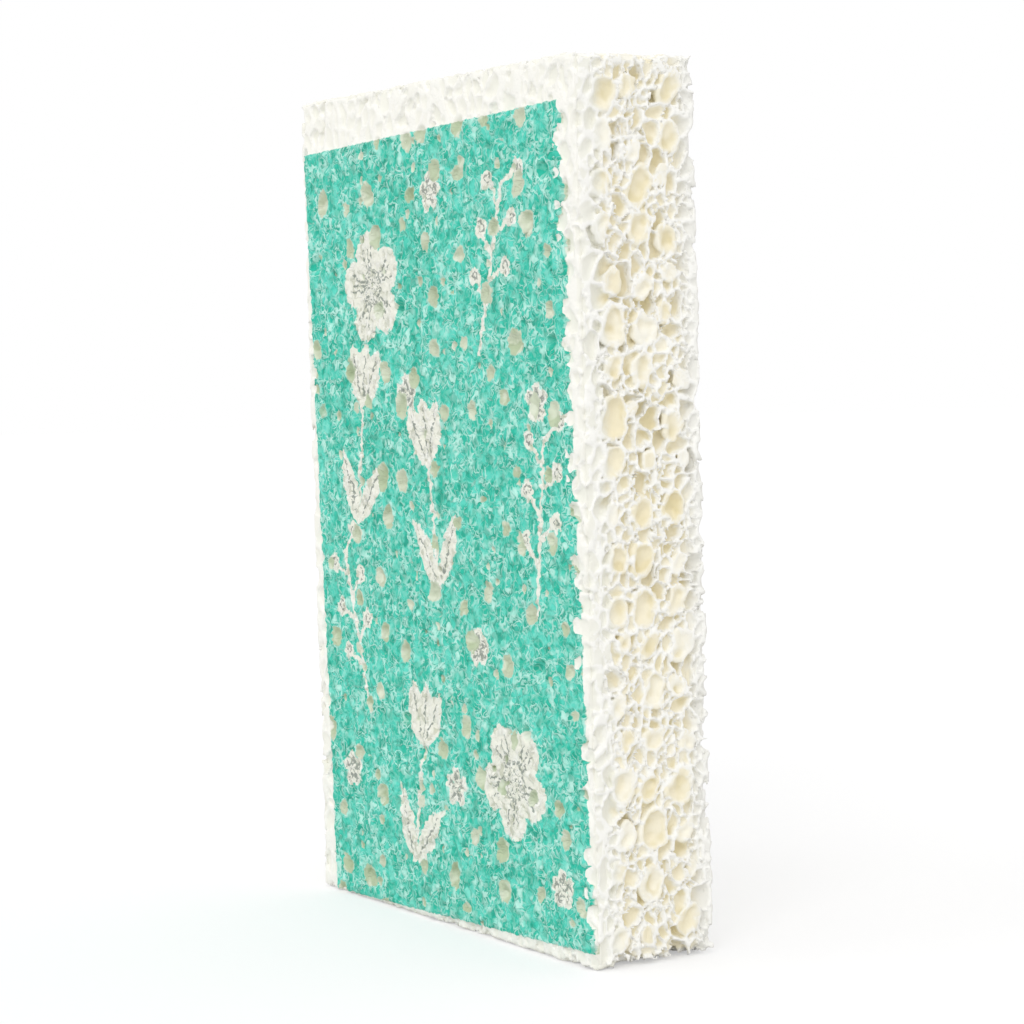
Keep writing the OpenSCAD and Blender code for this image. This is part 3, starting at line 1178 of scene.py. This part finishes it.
class SPONGE_OT_printed_face(bpy.types.Operator):
    """Makes the printed wide face, with its skin, openings and ink"""

    bl_idname = "sponge.printed_face"
    bl_label = "Printed Face"

    def execute(self, context):
        foam_face("printed_face", foam_material("Printed Cellulose", True))
        return {"FINISHED"}


class SPONGE_OT_back_face(bpy.types.Operator):
    """Makes the plain wide face at the back"""

    bl_idname = "sponge.back_face"
    bl_label = "Back Face"

    def execute(self, context):
        foam_face("back_face", foam_material("Bare Cellulose", False))
        return {"FINISHED"}


class SPONGE_OT_cut_sides(bpy.types.Operator):
    """Makes the two narrow cut sides"""

    bl_idname = "sponge.cut_sides"
    bl_label = "Cut Sides"

    def execute(self, context):
        for name in ("right_side", "left_side"):
            foam_face(name, foam_material("Bare Cellulose", False))
        return {"FINISHED"}


class SPONGE_OT_cut_ends(bpy.types.Operator):
    """Makes the two short cut ends"""

    bl_idname = "sponge.cut_ends"
    bl_label = "Cut Ends"

    def execute(self, context):
        for name in ("top_end", "foot_end"):
            foam_face(name, foam_material("Bare Cellulose", False))
        return {"FINISHED"}


def broad_lamp(name, towards, spread, strength):
    """An even, soft-edged lamp that shines from the direction that towards points in."""
    lamp = bpy.data.lights.new(name, "SUN")
    lamp.angle = math.radians(spread)
    lamp.energy = strength
    made = new_object(name, lamp)
    made.rotation_euler = Vector(towards).to_track_quat("Z", "Y").to_euler()


def seen_straight(net):
    """1 for rays that show a thing as it is, and 0 for those that light something else."""
    rays = net.node("ShaderNodeLightPath").outputs
    return net.most(rays["Is Camera Ray"], rays["Is Glossy Ray"], rays["Is Transmission Ray"])


class SPONGE_OT_stage(bpy.types.Operator):
    """Sets up the white floor, the even light and the camera"""

    bl_idname = "sponge.stage"
    bl_label = "Stage"

    def execute(self, context):
        stage = context.scene.sponge_stage
        shape = bmesh.new()
        level = Matrix.Translation((0, 0, FLOOR_LEVEL))
        bmesh.ops.create_circle(shape, cap_ends=True, segments=96, radius=stage.floor_radius, matrix=level)
        mesh = bpy.data.meshes.new("floor")
        shape.to_mesh(mesh)
        shape.free()
        floor = new_object("floor", mesh)
        paint = bpy.data.materials.new("White Floor")
        paint.use_nodes = True
        net = Net(paint.node_tree)
        nodes = paint.node_tree.nodes
        shader = nodes["Principled BSDF"]
        shader.inputs["Roughness"].default_value = 1.0
        shader.inputs["Specular IOR Level"].default_value = 0.0
        seen = seen_straight(net)
        net.feed(shader.inputs["Base Color"], net.tint(seen, FLOOR_AS_LIT, FLOOR_AS_SEEN))
        glow = net.node("ShaderNodeEmission", {"Color": (1, 1, 1, 1)})
        net.feed(glow.inputs["Strength"], net.times(seen, stage.floor_glow))
        both = net.node("ShaderNodeAddShader", {0: shader.outputs[0], 1: glow.outputs[0]})
        net.feed(nodes["Material Output"].inputs["Surface"], both.outputs[0])
        mesh.materials.append(paint)

        sky = bpy.data.worlds.new("Studio")
        context.scene.world = sky
        sky.use_nodes = True
        net = Net(sky.node_tree)
        ground = sky.node_tree.nodes["Background"]
        ground.inputs["Color"].default_value = (1, 1, 1, 1)
        seen = seen_straight(net)
        net.feed(ground.inputs["Strength"], net.blend(seen, stage.sky, 1.0))

        broad_lamp("key_lamp", (-0.35, -0.8, 0.5), 35, stage.key)
        broad_lamp("fill_lamp", (0.6, -0.55, 0.65), 40, stage.fill)

        turn, lift, roll = (math.radians(v) for v in CAMERA_ANGLES)
        level = math.cos(lift)
        back = Vector((math.sin(turn) * level, -math.cos(turn) * level, math.sin(lift)))
        right = Vector((math.cos(turn), math.sin(turn), 0))
        up = back.cross(right)
        across = right * math.cos(roll) + up * math.sin(roll)
        above = up * math.cos(roll) - right * math.sin(roll)
        view = Matrix((across, above, back)).transposed().to_4x4()
        view.translation = Vector(CAMERA_PLACE)
        camera = new_object("camera", bpy.data.cameras.new("camera"))
        camera.data.lens = stage.lens
        camera.data.sensor_width = 36
        camera.data.clip_start = 0.01
        camera.data.clip_end = 20
        camera.matrix_world = view
        context.scene.camera = camera
        context.scene.view_settings.view_transform = "Standard"
        return {"FINISHED"}


class SPONGE_PT_panel(bpy.types.Panel):
    """Lists the pieces of the sponge and their settings"""

    bl_idname = "SPONGE_PT_panel"
    bl_label = "Cleaning Sponge"
    bl_space_type = "VIEW_3D"
    bl_region_type = "UI"
    bl_category = "Sponge"

    def draw(self, context):
        layout = self.layout
        for group in (context.scene.sponge_foam, context.scene.sponge_print, context.scene.sponge_stage):
            column = layout.column(align=True)
            for name in group.bl_rna.properties.keys():
                if name not in ("rna_type", "name"):
                    column.prop(group, name)
        for operator in OPERATORS:
            layout.operator(operator.bl_idname)


OPERATORS = (
    SPONGE_OT_printed_face,
    SPONGE_OT_back_face,
    SPONGE_OT_cut_sides,
    SPONGE_OT_cut_ends,
    SPONGE_OT_stage,
)
CLASSES = (FoamSettings, PrintSettings, StageSettings) + OPERATORS + (SPONGE_PT_panel,)


def register():
    for cls in CLASSES:
        bpy.utils.register_class(cls)
    bpy.types.Scene.sponge_foam = bpy.props.PointerProperty(type=FoamSettings)
    bpy.types.Scene.sponge_print = bpy.props.PointerProperty(type=PrintSettings)
    bpy.types.Scene.sponge_stage = bpy.props.PointerProperty(type=StageSettings)


def unregister():
    del bpy.types.Scene.sponge_stage
    del bpy.types.Scene.sponge_print
    del bpy.types.Scene.sponge_foam
    for cls in reversed(CLASSES):
        bpy.utils.unregister_class(cls)


def main():
    register()
    bpy.ops.sponge.stage()
    bpy.ops.sponge.printed_face()
    bpy.ops.sponge.back_face()
    bpy.ops.sponge.cut_sides()
    bpy.ops.sponge.cut_ends()
    guide = bpy.data.objects.get("pore_walls")
    if guide:
        bpy.data.objects.remove(guide)
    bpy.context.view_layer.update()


if __name__ == "__main__":
    main()
